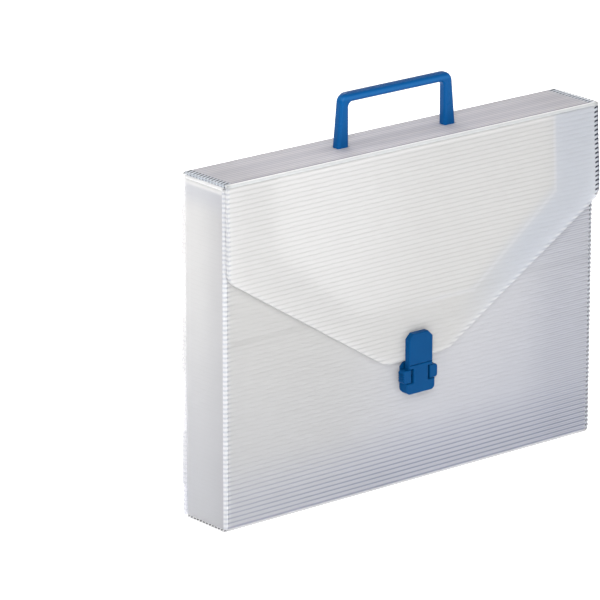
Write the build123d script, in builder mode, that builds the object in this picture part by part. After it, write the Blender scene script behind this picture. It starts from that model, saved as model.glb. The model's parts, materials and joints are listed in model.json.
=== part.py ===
"""Document case of twin-wall plastic sheet, with a closing flap, a bail handle and a squeeze clasp.

The case stands on its bottom panel. +X runs along its width, +Z points up and the closing flap
hangs in front, on the -Y side. The origin is at the centre of the base. All sizes are in millimetres.
One die-cut blank is folded into the case, so each panel and each crease of it is a piece here.
"""
import os

from build123d import *

# Outside of the case
case_width = 380.0
case_height = 280.0
case_depth = 50.0

# Twin-wall sheet: two skins joined by ribs, with open flutes between them
board = 2.5
skin = 0.3
rib = 0.3
flute_pitch = 3.733

# Clearances between panels
slip = 0.3
crease_play = 0.05

# Back panel: it stands proud of the sides, and their tabs pass through its slots
back_lip = 2.0
tab_length = 43.0
tab_spacing = 92.0
tab_count = 3
tab_proud = 3.5
slot_play = 0.15

# Front panel: an access cut-out between two ears
ear_width = 47.0
ear_straight = 62.0
cutout_drop = 131.0
cutout_floor = 110.0
cutout_corner = 34.0
cutout_floor_radius = 28.0

# Closing flap, cut like an envelope's
flap_gap = 1.5
flap_side_drop = 76.5
flap_tip_drop = 176.0
flap_tip_width = 64.0
flap_side_radius = 12.0
flap_tip_radius = 18.0

# Dust flaps under the lid
dust_flap_length = 40.0
dust_flap_margin = 0.8
dust_flap_radius = 6.0

# Handle
handle_inner_span = 98.0
handle_rise = 42.8
bar_height = 7.5
handle_depth = 8.8
leg_foot_width = 11.3
leg_top_width = 7.2
leg_slot_play = 0.4
leg_tail = 9.5
barb_reach = 1.6
barb_height = 5.6
barb_play = 0.3
tail_slit = 1.8
tail_slit_depth = 6.5
handle_corner_radius = 8.0
handle_inner_radius = 4.0
handle_edge_radius = 3.0

# Clasp, upper half on the flap
clasp_width = 24.0
clasp_wall = 1.4
clasp_stand = 5.5
clasp_edge_radius = 0.9
hasp_overhang = 3.3
hasp_height = 25.6
hasp_corner_cut = 4.5
split_play = 0.2
backing_width = 19.0
backing_height = 18.0
backing_thickness = 1.1
backing_radius = 2.0
backing_rise = 5.4
tongue_width = 17.0
tongue_height = 12.0
tongue_thickness = 1.2
tongue_play = 0.2

# Clasp, cover that comes down over the catch
cover_height = 24.0
cover_foot_width = 29.0
cover_foot_radius = 4.0
cover_play = 0.3
strip_width = 14.8

# Clasp, catch on the front panel
base_thickness = 1.6
base_width = 29.0
base_corner_cut = 4.5
base_foot_radius = 4.0
base_inset = 0.6
boss_diameter = 5.0
boss_height = 0.25
boss_low_rise = 4.4
boss_high_drop = 2.7
catch_backing_margin = 1.5

# Release buttons and what guides, stops and springs them
button_reach = 17.5
button_drop = 9.0
button_height = 11.0
button_play = 0.3
button_sink = 0.4
button_lift = 0.8
button_tip_radius = 2.6
button_edge_radius = 0.8
button_travel = 2.0
grip_depth = 0.5
grip_width = 0.7
grip_count = 3
grip_pitch = 2.0
stem_inner = 2.8
stem_height = 4.4
stem_thickness = 1.5
stem_rise = 1.5
stem_play = 0.1
stem_root = 2.0
post_inner = 3.6
post_thickness = 1.6
post_height = 2.4
nose_reach = 1.8
nose_tip = 0.3
nose_ramp = 1.7
keeper_stand = 4.0
keeper_bar = 0.9
keeper_play = 0.3
keeper_window_play = 0.8
centre_rib = 1.2
centre_rib_height = 3.4
rail_inner = 1.0
rail_wall = 0.7
rail_lip = 0.6
rail_lip_thickness = 0.6
rail_bridge = 0.35
spring_drop = 3.4
spring_diameter = 3.0
spring_wire = 0.35
spring_turns = 7
spring_peg_diameter = 1.8
spring_peg_length = 1.2
spring_play = 0.3

# Rivets
rivet_diameter = 2.0
rivet_play = 0.05
rivet_head_diameter = 4.2
rivet_head_height = 0.9
rivet_upper_drop = 7.0
rivet_lower_rise = 9.0
rivet_end_play = 0.3
rivet_edge_radius = 0.3

# Places worked out from the sizes above
half_width = case_width / 2
front_y = -case_depth / 2
back_y = case_depth / 2
front_inner_y = front_y + board
back_inner_y = back_y - board
flap_inner_y = front_y - flap_gap
flap_outer_y = flap_inner_y - board
side_inner_x = half_width - board
lid_z = case_height - board
dust_flap_z = lid_z - slip - board
channel = board - 2 * skin
flute = flute_pitch - rib
reach = 2 * case_width
crease_radius = board / 2 - crease_play
hinge_z = case_height - board / 2
lid_hinge_y = back_y - board / 2
flap_hinge_y = flap_outer_y + board / 2
flap_tip_z = case_height - flap_tip_drop
flap_face = flap_gap + board
split_z = flap_tip_z - hasp_overhang
cover_foot_z = split_z - cover_height
clasp_front = flap_face + clasp_stand
clasp_inner = clasp_front - clasp_wall
button_z = split_z - button_drop
button_inner = strip_width / 2 + button_travel + button_play
window_top = button_z + button_height / 2 + button_play
window_bottom = button_z - button_height / 2 - button_play
stem_z = button_z + stem_rise
stem_floor = base_thickness + button_play
stem_top = stem_floor + stem_thickness
nose_floor = keeper_stand + keeper_bar + keeper_play
nose_top = nose_floor + nose_tip + nose_ramp
spring_z = button_z - spring_drop
spring_stand = stem_floor + spring_play + spring_diameter / 2
hasp_rivets_z = (split_z + rivet_lower_rise, split_z + hasp_height - rivet_upper_drop)
catch_rivets_z = (cover_foot_z + boss_low_rise, split_z - boss_high_drop)


def front_plane(stand):
    """The plane that lies this far in front of the front panel's outer face."""
    return Plane.XZ.offset(case_depth / 2 + stand)


def rows_in(length):
    """The number of whole flutes that a board of this length holds."""
    return int(length / flute_pitch)


def open_flutes(plane, centre, columns, rows, width, height):
    """Cuts a board's flutes right through it, drawn end-on in the plane."""
    with BuildSketch(plane) as ends:
        with Locations(centre):
            with GridLocations(flute_pitch, flute_pitch, columns, rows):
                Rectangle(width, height)
    extrude(ends.sketch, amount=reach, both=True, mode=Mode.SUBTRACT)


def box_between(low, high):
    """A block given by its lowest and highest corners."""
    size = [high[axis] - low[axis] for axis in range(3)]
    middle = [(high[axis] + low[axis]) / 2 for axis in range(3)]
    with Locations(tuple(middle)):
        Box(*size)


def quarter_round(plane, centre, toward, length):
    """A fold's rounded corner: the quarter of a bar that lies toward these two signs of its centre."""
    align = [Align.MIN if sign > 0 else Align.MAX for sign in toward]
    with BuildSketch(plane) as corner:
        with Locations(centre):
            Circle(board)
            Rectangle(board, board, align=align, mode=Mode.INTERSECT)
    extrude(corner.sketch, amount=length)


def keep(piece, name):
    """Labels a finished piece and writes it."""
    piece.part.label = name
    export_step(piece.part, f"parts/{name}.step")


def tab_places():
    """The heights of the side panels' tabs, spread about the middle of the case."""
    first = case_height / 2 - tab_spacing * (tab_count - 1) / 2
    return [first + tab_spacing * index for index in range(tab_count)]


def rivet_holes(heights, stand, depth):
    """Drills rivet holes on the clasp's centre line, outwards from this stand."""
    with BuildSketch(front_plane(stand)) as holes:
        with Locations([(0, height) for height in heights]):
            Circle(rivet_diameter / 2 + rivet_play)
    extrude(holes.sketch, amount=depth, mode=Mode.SUBTRACT)


def symmetric_outline(points):
    """A closed outline from its right-hand points, listed from the top down."""
    with BuildLine() as outline:
        Polyline(*points, *[(-x, z) for x, z in reversed(points)], close=True)
    make_face(outline.edges())


def hasp_outline(inset=0):
    """The upper plate's outline, its top corners cut off."""
    top = split_z + hasp_height
    half = clasp_width / 2
    symmetric_outline([(half - hasp_corner_cut, top), (half, top - hasp_corner_cut), (half, split_z)])
    if inset:
        offset(amount=-inset)


def cover_outline(inset=0):
    """The cover's outline: a head, a narrow strip between the buttons and a wide foot."""
    head = clasp_width / 2
    strip = strip_width / 2
    foot = cover_foot_width / 2
    top = split_z - split_play
    symmetric_outline(
        [
            (head, top),
            (head, window_top),
            (strip, window_top),
            (strip, window_bottom),
            (foot, window_bottom),
            (foot, cover_foot_z),
        ]
    )
    fillet(vertices().group_by(Axis.Y)[0], cover_foot_radius)
    if inset:
        offset(amount=-inset)


def shelled(outline, back, front, wall):
    """A moulded shell, open at its back, with softened front edges."""
    with BuildSketch(front_plane(back)) as outside:
        outline()
    extrude(outside.sketch, amount=front - back)
    fillet(faces().sort_by(Axis.Y)[0].edges(), clasp_edge_radius)
    with BuildSketch(front_plane(back)) as inside:
        outline(wall)
    extrude(inside.sketch, amount=front - back - wall, mode=Mode.SUBTRACT)


os.makedirs("parts", exist_ok=True)

# Back panel, with a slot for each tab
back_height = lid_z - board
with BuildPart() as back_panel:
    box_between((-half_width - back_lip, back_inner_y, board), (half_width + back_lip, back_y, lid_z))
    back_middle = (back_y - board / 2, board + back_height / 2)
    open_flutes(Plane.YZ, back_middle, 1, rows_in(back_height), channel, flute)
    with BuildSketch(Plane.XZ):
        for side in (-1, 1):
            with Locations([(side * (half_width - board / 2), height) for height in tab_places()]):
                Rectangle(board + 2 * slot_play, tab_length + 2 * slot_play)
    extrude(amount=-case_depth, mode=Mode.SUBTRACT)
keep(back_panel, "back_panel")

# Bottom panel
with BuildPart() as bottom_panel:
    box_between((-half_width, front_inner_y, 0), (half_width, back_inner_y, board))
    open_flutes(Plane.YZ, (0, board / 2), rows_in(case_depth - 2 * board), 1, flute, channel)
keep(bottom_panel, "bottom_panel")

# Front panel: two ears reach up beside the access cut-out
front_height = lid_z - slip - board
cutout_x = half_width - ear_width
with BuildPart() as front_panel:
    box_between((-side_inner_x, front_y, board), (side_inner_x, front_inner_y, lid_z - slip))
    front_middle = (front_y + board / 2, board + front_height / 2)
    open_flutes(Plane.YZ, front_middle, 1, rows_in(front_height), channel, flute)
    with BuildSketch(front_plane(0)):
        with BuildLine():
            FilletPolyline(
                (-cutout_x, case_height),
                (-cutout_x, case_height - ear_straight),
                (-cutout_floor / 2, case_height - cutout_drop),
                (cutout_floor / 2, case_height - cutout_drop),
                (cutout_x, case_height - ear_straight),
                (cutout_x, case_height),
                radius=[cutout_corner, cutout_floor_radius, cutout_floor_radius, cutout_corner],
            )
            Line((-cutout_x, case_height), (cutout_x, case_height))
        make_face()
    extrude(amount=-board, mode=Mode.SUBTRACT)
    rivet_holes(catch_rivets_z, -board, board)
keep(front_panel, "front_panel")

# Side panels, each with three tabs that pass through the back panel
side_height = dust_flap_z - board
for side, name in ((-1, "left_side_panel"), (1, "right_side_panel")):
    with BuildPart() as side_panel:
        inner_x = side * side_inner_x
        outer_x = side * half_width
        low_x = min(inner_x, outer_x)
        high_x = max(inner_x, outer_x)
        box_between((low_x, front_inner_y, board), (high_x, back_inner_y, dust_flap_z))
        for height in tab_places():
            box_between(
                (low_x, back_inner_y, height - tab_length / 2),
                (high_x, back_y + tab_proud, height + tab_length / 2),
            )
        side_middle = ((low_x + high_x) / 2, board + side_height / 2)
        open_flutes(Plane.XZ, side_middle, 1, rows_in(side_height), channel, flute)
    keep(side_panel, name)

# Corner folds of crushed sheet, upright between the front and the sides
for side, name in ((-1, "left_corner_fold"), (1, "right_corner_fold")):
    with BuildPart() as corner_fold:
        fold_centre = (side * side_inner_x, front_inner_y)
        quarter_round(Plane.XY.offset(board), fold_centre, (side, -1), side_height)
    keep(corner_fold, name)

# Folds along the base
for side, name in ((-1, "front_base_fold"), (1, "back_base_fold")):
    with BuildPart() as base_fold:
        fold_centre = (side * back_inner_y, board)
        quarter_round(Plane.YZ.offset(-side_inner_x), fold_centre, (side, -1), 2 * side_inner_x)
    keep(base_fold, name)

# Dust flaps, folded in from the tops of the side panels, and their creases
for side, name in ((-1, "left_dust_flap"), (1, "right_dust_flap")):
    with BuildPart() as dust_flap:
        with BuildSketch(Plane.XY.offset(dust_flap_z)):
            with Locations((side * (side_inner_x - dust_flap_length / 2), 0)):
                Rectangle(dust_flap_length, case_depth - 2 * board - 2 * dust_flap_margin)
            inner_corners = vertices().group_by(Axis.X)[0 if side > 0 else -1]
            fillet(inner_corners, dust_flap_radius)
        extrude(amount=board)
        flap_middle = (side * (side_inner_x - dust_flap_length / 2), dust_flap_z + board / 2)
        open_flutes(Plane.XZ, flap_middle, rows_in(dust_flap_length), 1, flute, channel)
    keep(dust_flap, name)

for side, name in ((-1, "left_dust_crease"), (1, "right_dust_crease")):
    with BuildPart() as dust_crease:
        fold_centre = (side * side_inner_x, dust_flap_z)
        crease_length = back_inner_y - front_inner_y
        quarter_round(Plane.XZ.offset(-back_inner_y), fold_centre, (side, 1), crease_length)
    keep(dust_crease, name)

# Lid, with a slot for each leg of the handle
leg_middle = handle_inner_span / 2 + leg_foot_width / 2
with BuildPart() as lid_panel:
    box_between((-half_width, flap_inner_y, lid_z), (half_width, back_inner_y, case_height))
    lid_depth = back_inner_y - flap_inner_y
    lid_middle = ((back_inner_y + flap_inner_y) / 2, lid_z + board / 2)
    open_flutes(Plane.YZ, lid_middle, rows_in(lid_depth), 1, flute, channel)
    with BuildSketch(Plane.XY.offset(lid_z)):
        with Locations((-leg_middle, 0), (leg_middle, 0)):
            Rectangle(leg_foot_width + 2 * leg_slot_play, handle_depth + 2 * leg_slot_play)
    extrude(amount=board, mode=Mode.SUBTRACT)
keep(lid_panel, "lid_panel")

# Creases that the lid and the closing flap turn on: a round bead and the web that joins it
for name, bead_y, web_end in (
    ("lid_crease", lid_hinge_y, back_inner_y),
    ("flap_crease", flap_hinge_y, flap_inner_y),
):
    with BuildPart() as crease:
        with BuildSketch(Plane.YZ.offset(-half_width)):
            with Locations((bead_y, hinge_z)):
                Circle(crease_radius)
            with Locations(((bead_y + web_end) / 2, hinge_z)):
                Rectangle(abs(web_end - bead_y), 2 * skin)
        extrude(amount=case_width)
    keep(crease, name)

# Closing flap
with BuildPart() as closing_flap:
    flap_side_z = case_height - flap_side_drop
    with BuildSketch(front_plane(flap_gap)):
        symmetric_outline(
            [(half_width, lid_z), (half_width, flap_side_z), (flap_tip_width / 2, flap_tip_z)]
        )
        fillet(vertices().group_by(Axis.Y)[1], flap_side_radius)
        fillet(vertices().group_by(Axis.Y)[0], flap_tip_radius)
    extrude(amount=board)
    flap_height = lid_z - flap_tip_z
    flap_centre = (flap_inner_y - board / 2, flap_tip_z + flap_height / 2)
    open_flutes(Plane.YZ, flap_centre, 1, rows_in(flap_height), channel, flute)
    rivet_holes(hasp_rivets_z, flap_gap, board)
keep(closing_flap, "closing_flap")

# Handle: a bail whose legs widen towards the lid and end in barbed, slit tails
with BuildPart() as handle:
    inner_x = handle_inner_span / 2
    bar_top = case_height + handle_rise
    bar_bottom = bar_top - bar_height
    tail_z = lid_z - leg_tail
    barb_top = lid_z - barb_play
    with BuildSketch(Plane.XZ.offset(-handle_depth / 2)):
        symmetric_outline(
            [
                (inner_x + leg_top_width, bar_top),
                (inner_x + leg_foot_width, case_height),
                (inner_x + leg_foot_width, tail_z),
                (inner_x, tail_z),
                (inner_x, bar_bottom),
            ]
        )
        fillet(vertices().group_by(Axis.Y)[-2], handle_inner_radius)
        fillet(vertices().group_by(Axis.Y)[-1], handle_corner_radius)
    extrude(amount=handle_depth)
    rims = faces().filter_by(Plane.XZ).edges()
    above_lid = rims.filter_by_position(Axis.Z, case_height, bar_top + handle_edge_radius)
    fillet(above_lid, handle_edge_radius)
    with BuildSketch(Plane.XZ.offset(-handle_depth / 2)):
        for leg in (-1, 1):
            with BuildLine():
                Polyline(
                    (leg * inner_x, barb_top),
                    (leg * (inner_x - barb_reach), barb_top),
                    (leg * inner_x, barb_top - barb_height),
                    close=True,
                )
            make_face()
            outer_x = inner_x + leg_foot_width
            with BuildLine():
                Polyline(
                    (leg * outer_x, barb_top),
                    (leg * (outer_x + barb_reach), barb_top),
                    (leg * outer_x, barb_top - barb_height),
                    close=True,
                )
            make_face()
    extrude(amount=handle_depth)
    with BuildSketch(Plane.XZ.offset(-handle_depth / 2)):
        with Locations((-leg_middle, tail_z), (leg_middle, tail_z)):
            Rectangle(tail_slit, 2 * tail_slit_depth)
    extrude(amount=handle_depth, mode=Mode.SUBTRACT)
keep(handle, "handle")

# Hasp plate on the flap
with BuildPart() as hasp_plate:
    shelled(hasp_outline, flap_face, clasp_front, clasp_wall)
    for height, foot in zip(hasp_rivets_z, (flap_face + tongue_thickness, flap_face)):
        with BuildSketch(front_plane(foot)):
            with Locations((0, height)):
                Circle(boss_diameter / 2)
        extrude(amount=clasp_inner - foot)
    rivet_holes(hasp_rivets_z, flap_face, clasp_inner - flap_face)
    with BuildSketch(front_plane(flap_face)):
        with Locations((0, split_z)):
            Rectangle(tongue_width + 2 * tongue_play, 2 * (clasp_wall + tongue_play))
    extrude(amount=tongue_thickness + tongue_play, mode=Mode.SUBTRACT)
keep(hasp_plate, "hasp_plate")

# Hasp cover, which hangs from the plate by a tongue and closes over the catch
with BuildPart() as hasp_cover:
    cover_back = base_thickness + cover_play
    shelled(cover_outline, cover_back, clasp_front, clasp_wall)
    with BuildSketch(front_plane(cover_back)):
        with Locations((0, split_z)):
            Rectangle(clasp_width + 2 * split_play, 2 * (split_z - window_top))
    extrude(amount=flap_face - cover_back, mode=Mode.SUBTRACT)
    with BuildSketch(front_plane(flap_face)):
        with Locations((0, split_z - split_play - clasp_wall)):
            Rectangle(tongue_width, tongue_height + clasp_wall, align=(Align.CENTER, Align.MIN))
    extrude(amount=tongue_thickness)
    rivet_holes(hasp_rivets_z[:1], flap_face, tongue_thickness)
    with BuildSketch(front_plane(cover_back)):
        with Locations((0, button_z)):
            Rectangle(strip_width + clasp_wall, button_height - 2 * button_play)
    extrude(amount=keeper_stand - cover_back, mode=Mode.SUBTRACT)
    for side in (-1, 1):
        wall_x = side * (strip_width - clasp_wall) / 2
        with BuildSketch(front_plane(cover_back)):
            with Locations((wall_x, spring_z)):
                Rectangle(2 * clasp_wall, spring_diameter + 2 * spring_play)
        spring_room = spring_stand + spring_diameter / 2 + spring_play
        extrude(amount=spring_room - cover_back, mode=Mode.SUBTRACT)
        with BuildSketch(front_plane(keeper_stand + keeper_bar)):
            with Locations((wall_x, stem_z)):
                Rectangle(2 * clasp_wall, post_height + 2 * keeper_window_play)
        extrude(amount=nose_top + keeper_play - keeper_stand - keeper_bar, mode=Mode.SUBTRACT)
keep(hasp_cover, "hasp_cover")

# Backing plate behind the flap, countersunk for its rivets
backing_back = flap_gap - backing_thickness
with BuildPart() as hasp_backing:
    with BuildSketch(front_plane(backing_back)):
        with Locations((0, flap_tip_z - hasp_overhang + backing_rise)):
            Rectangle(backing_width, backing_height, align=(Align.CENTER, Align.MIN))
        fillet(vertices(), backing_radius)
    extrude(amount=backing_thickness)
    rivet_holes(hasp_rivets_z, backing_back, backing_thickness)
    for height in hasp_rivets_z:
        with BuildSketch(front_plane(backing_back)):
            with Locations((0, height)):
                Circle(rivet_head_diameter / 2 + rivet_play)
        with BuildSketch(front_plane(backing_back + rivet_head_height)):
            with Locations((0, height)):
                Circle(rivet_diameter / 2 + rivet_play)
        loft(mode=Mode.SUBTRACT)
keep(hasp_backing, "hasp_backing")

# The flap's rivets, one solid each
with BuildPart() as hasp_rivets:
    for height in hasp_rivets_z:
        with BuildSketch(front_plane(backing_back)):
            with Locations((0, height)):
                Circle(rivet_diameter / 2)
        extrude(amount=clasp_inner - rivet_end_play - backing_back)
        with BuildSketch(front_plane(backing_back)):
            with Locations((0, height)):
                Circle(rivet_head_diameter / 2)
        with BuildSketch(front_plane(backing_back + rivet_head_height)):
            with Locations((0, height)):
                Circle(rivet_diameter / 2)
        loft()
keep(hasp_rivets, "hasp_rivets")

# Catch base on the front panel, with rails, bridges and pegs for the two buttons
with BuildPart() as catch_base:
    half = base_width / 2
    top = flap_tip_z - base_inset
    foot = cover_foot_z + base_inset
    with BuildSketch(front_plane(0)):
        symmetric_outline([(half - base_corner_cut, top), (half, top - base_corner_cut), (half, foot)])
        fillet(vertices().group_by(Axis.Y)[0], base_foot_radius)
    extrude(amount=base_thickness)
    with BuildSketch(front_plane(base_thickness)):
        with Locations([(0, height) for height in catch_rivets_z]):
            Circle(boss_diameter / 2)
    extrude(amount=boss_height)
    with BuildSketch(front_plane(base_thickness)):
        with Locations((0, button_z)):
            Rectangle(centre_rib, button_height - 2 * button_play)
    extrude(amount=centre_rib_height)
    rail_end = post_inner + post_thickness + stem_play
    rail_gap = stem_height / 2 + stem_play
    lip_floor = stem_top + stem_play
    for side in (-1, 1):
        rail_x = side * (rail_inner + rail_end) / 2
        for level in (-1, 1):
            with BuildSketch(front_plane(base_thickness)):
                with Locations((rail_x, stem_z + level * (rail_gap + rail_wall / 2))):
                    Rectangle(rail_end - rail_inner, rail_wall)
            extrude(amount=lip_floor + rail_lip_thickness - base_thickness)
            with BuildSketch(front_plane(lip_floor)):
                with Locations((rail_x, stem_z + level * (rail_gap - rail_lip / 2))):
                    Rectangle(rail_end - rail_inner, rail_lip)
            extrude(amount=rail_lip_thickness)
        with BuildSketch(front_plane(lip_floor)):
            with Locations((side * (rail_end + rail_bridge / 2), stem_z)):
                Rectangle(rail_bridge, 2 * (rail_gap + rail_wall))
        extrude(amount=rail_lip_thickness)
        with BuildSketch(Plane.YZ.offset(side * centre_rib / 2)):
            with Locations((front_y - spring_stand, spring_z)):
                Circle(spring_peg_diameter / 2)
        extrude(amount=side * spring_peg_length)
    rivet_holes(catch_rivets_z, 0, base_thickness + boss_height)
keep(catch_base, "catch_base")

# Backing plate inside the case
with BuildPart() as catch_backing:
    with BuildSketch(front_plane(-board - backing_thickness)):
        rivet_spacing = catch_rivets_z[1] - catch_rivets_z[0]
        plate_height = rivet_spacing + rivet_head_diameter + 2 * catch_backing_margin
        with Locations((0, sum(catch_rivets_z) / 2)):
            Rectangle(base_width - 2 * catch_backing_margin, plate_height)
        fillet(vertices(), backing_radius)
    extrude(amount=backing_thickness)
    rivet_holes(catch_rivets_z, -board - backing_thickness, backing_thickness)
keep(catch_backing, "catch_backing")

# The front panel's rivets, one solid each
with BuildPart() as catch_rivets:
    head_back = -board - backing_thickness - rivet_head_height
    for height in catch_rivets_z:
        with BuildSketch(front_plane(head_back)):
            with Locations((0, height)):
                Circle(rivet_head_diameter / 2)
        extrude(amount=rivet_head_height)
        with BuildSketch(front_plane(head_back)):
            with Locations((0, height)):
                Circle(rivet_diameter / 2)
        extrude(amount=base_thickness + boss_height - rivet_end_play - head_back)
    fillet(faces().group_by(Axis.Y)[-1].edges(), rivet_edge_radius)
keep(catch_rivets, "catch_rivets")

# Release buttons: a pad outside, a stem in the rails, and a nosed post that holds the cover
for side, name in ((-1, "left_release_button"), (1, "right_release_button")):
    pad_back = base_thickness + button_lift
    pad_front = clasp_front - button_sink
    with BuildPart() as button:
        with BuildSketch(front_plane(pad_back)):
            with Locations((side * (button_inner + button_reach) / 2, button_z)):
                Rectangle(button_reach - button_inner, button_height)
            fillet(vertices().group_by(Axis.X)[-1 if side > 0 else 0], button_tip_radius)
        extrude(amount=pad_front - pad_back)
        fillet(faces().sort_by(Axis.Y)[0].edges(), button_edge_radius)
        with BuildSketch(front_plane(pad_back)):
            with Locations((side * button_reach, button_z)):
                with GridLocations(grip_pitch, grip_pitch, 1, grip_count):
                    Rectangle(2 * grip_depth, grip_width)
        extrude(amount=pad_front - pad_back, mode=Mode.SUBTRACT)
        with BuildSketch(front_plane(stem_floor)):
            stem_outer = button_inner + stem_root
            with Locations((side * (stem_inner + stem_outer) / 2, stem_z)):
                Rectangle(stem_outer - stem_inner, stem_height)
        extrude(amount=stem_thickness)
        with BuildSketch(Plane.XY.offset(stem_z - post_height / 2)):
            post_outer = post_inner + post_thickness
            with BuildLine():
                Polyline(
                    (side * post_inner, front_y - stem_floor),
                    (side * post_inner, front_y - nose_top),
                    (side * post_outer, front_y - nose_top),
                    (side * (post_outer + nose_reach), front_y - nose_floor - nose_tip),
                    (side * (post_outer + nose_reach), front_y - nose_floor),
                    (side * post_outer, front_y - nose_floor),
                    (side * post_outer, front_y - stem_floor),
                    close=True,
                )
            make_face()
        extrude(amount=post_height)
        with BuildSketch(Plane.YZ.offset(side * button_inner)):
            with Locations((front_y - spring_stand, spring_z)):
                Circle(spring_peg_diameter / 2)
        extrude(amount=-side * spring_peg_length)
    keep(button, name)

# Coil springs between the centre rib and the buttons
for side, name in ((-1, "left_button_spring"), (1, "right_button_spring")):
    spring_start = centre_rib / 2 + spring_wire
    spring_length = button_inner - centre_rib / 2 - 2 * spring_wire
    with BuildPart() as spring:
        with BuildLine() as coil:
            Helix(
                pitch=spring_length / spring_turns,
                height=spring_length,
                radius=(spring_diameter - spring_wire) / 2,
                center=(side * spring_start, front_y - spring_stand, spring_z),
                direction=(side, 0, 0),
            )
        with BuildSketch(Plane(origin=coil.line @ 0, z_dir=coil.line % 0)):
            Circle(spring_wire / 2)
        sweep()
    keep(spring, name)
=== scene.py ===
"""Looks for the document case of fluted plastic sheet.

Every length is in metres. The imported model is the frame: +X along the width, +Z up, and the closing
flap in front, on the -Y side. Panels whose shape is right keep their mesh and get a material here. The
flap, the front and the corner folds are replaced by pieces with their real relief, the creases by skins
that bend with the joints, and the buttons' springs by copies that shorten.
"""

import json
import math

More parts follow.
